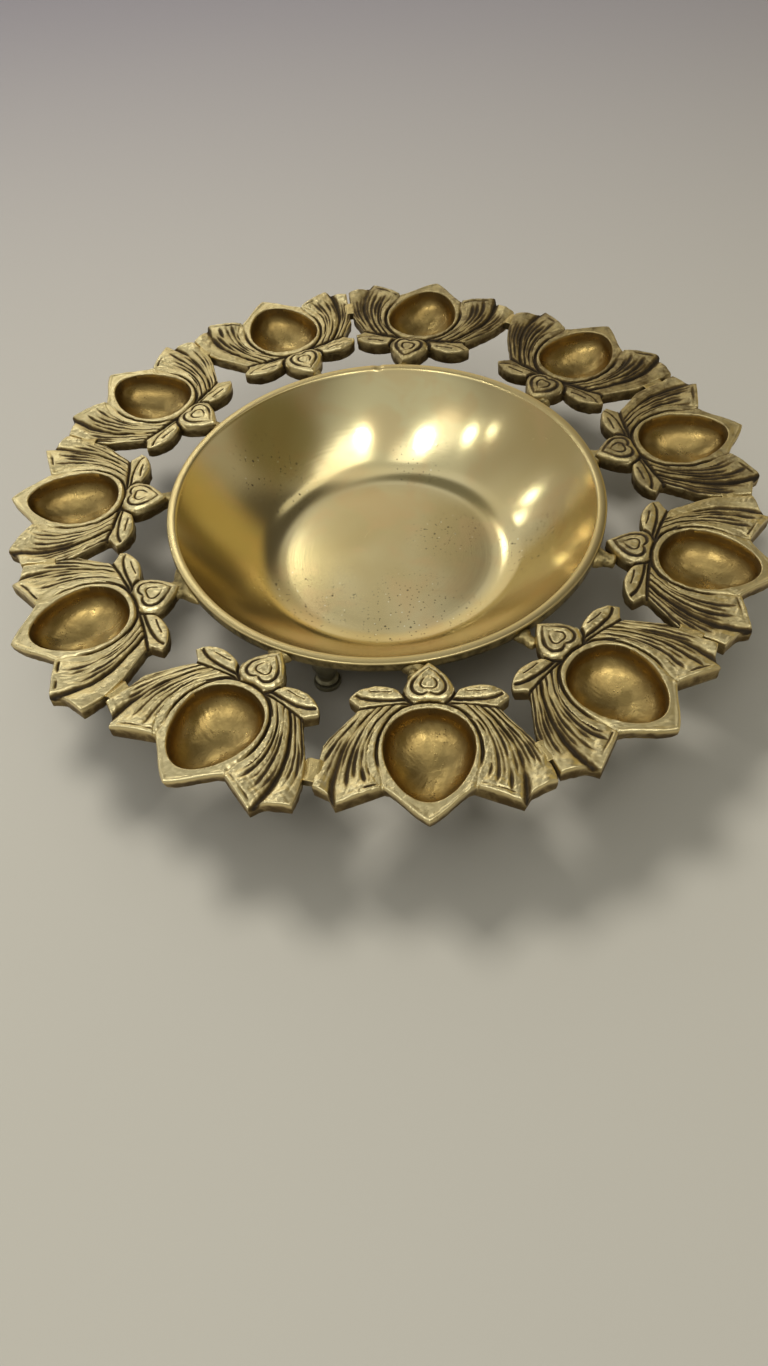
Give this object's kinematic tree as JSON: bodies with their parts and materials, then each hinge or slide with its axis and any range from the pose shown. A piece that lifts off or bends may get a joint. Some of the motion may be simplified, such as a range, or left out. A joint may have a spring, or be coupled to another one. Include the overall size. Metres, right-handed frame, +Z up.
{
  "type": "urli bowl with lotus oil lamps",
  "caption": "Shallow round brass bowl on short feet, ringed by lotus-shaped oil lamps brazed to its rim, for floating flowers and festive lamps.",
  "frame": {"origin": "centre of the object's box on the surface that it stands on", "axes": "+Z up along the bowl's axis; -Y is the side of the first lamp, the front"},
  "size_m": [0.353, 0.3556, 0.0574],
  "materials": {
    "bowl_satin_brass": "satin-polished spun brass with faint turning lines, specks and fine scratches",
    "lotus_antiqued_brass": "sand-cast brass, dark patina in the grooves and rubbed bright on the ridges",
    "brazed_brass": "lumpy brazing metal, lightly filed",
    "foot_cast_brass": "plain cast brass, slightly dull"
  },
  "bodies": {
    "root": {"bowl": "bowl_satin_brass", "foot_01": "foot_cast_brass", "foot_02": "foot_cast_brass", "foot_03": "foot_cast_brass", "lotus_diya_01": "lotus_antiqued_brass", "lotus_diya_02": "lotus_antiqued_brass", "lotus_diya_03": "lotus_antiqued_brass", "lotus_diya_04": "lotus_antiqued_brass", "lotus_diya_05": "lotus_antiqued_brass", "lotus_diya_06": "lotus_antiqued_brass", "lotus_diya_07": "lotus_antiqued_brass", "lotus_diya_08": "lotus_antiqued_brass", "lotus_diya_09": "lotus_antiqued_brass", "lotus_diya_10": "lotus_antiqued_brass", "lotus_diya_11": "lotus_antiqued_brass", "rim_strut_01": "brazed_brass", "rim_strut_02": "brazed_brass", "rim_strut_03": "brazed_brass", "rim_strut_04": "brazed_brass", "rim_strut_05": "brazed_brass", "rim_strut_06": "brazed_brass", "rim_strut_07": "brazed_brass", "rim_strut_08": "brazed_brass", "rim_strut_09": "brazed_brass", "rim_strut_10": "brazed_brass", "rim_strut_11": "brazed_brass", "bridge_01": "brazed_brass", "bridge_02": "brazed_brass", "bridge_03": "brazed_brass", "bridge_04": "brazed_brass", "bridge_05": "brazed_brass", "bridge_06": "brazed_brass", "bridge_07": "brazed_brass", "bridge_08": "brazed_brass", "bridge_09": "brazed_brass", "bridge_10": "brazed_brass", "bridge_11": "brazed_brass"}
  },
  "joints": []
}
